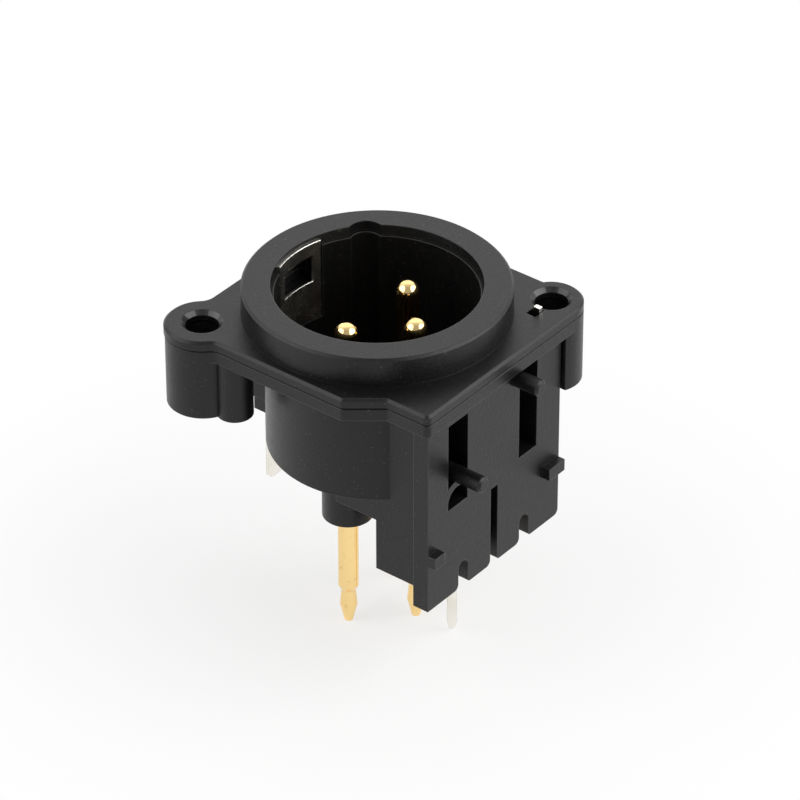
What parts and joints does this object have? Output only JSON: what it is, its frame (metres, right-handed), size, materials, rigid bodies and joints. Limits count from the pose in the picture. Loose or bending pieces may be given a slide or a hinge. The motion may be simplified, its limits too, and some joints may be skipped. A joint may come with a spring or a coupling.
{
  "type": "panel socket",
  "caption": "Round panel socket with a raised collar, straight contact pins, ear holes on a diagonal and long solder tails under a flat mounting wall.",
  "frame": {"origin": "on the socket's axis, at the front face of the flange that seats against the panel", "axes": "+Z out of the socket towards the mating plug, the flat mounting wall faces -Y, the key channel is towards +X+Y"},
  "size_m": [0.0309, 0.0333, 0.0376],
  "materials": {
    "black_plastic": "fine moulded texture",
    "gold_contact": "gold plated",
    "tinned_strip": "bright tin plate"
  },
  "bodies": {
    "root": {"front_flange": "black_plastic", "rear_housing": "black_plastic", "pin_1": "gold_contact", "pin_2": "gold_contact", "pin_3": "gold_contact", "shell_contact": "tinned_strip", "panel_contact": "tinned_strip"}
  },
  "joints": []
}
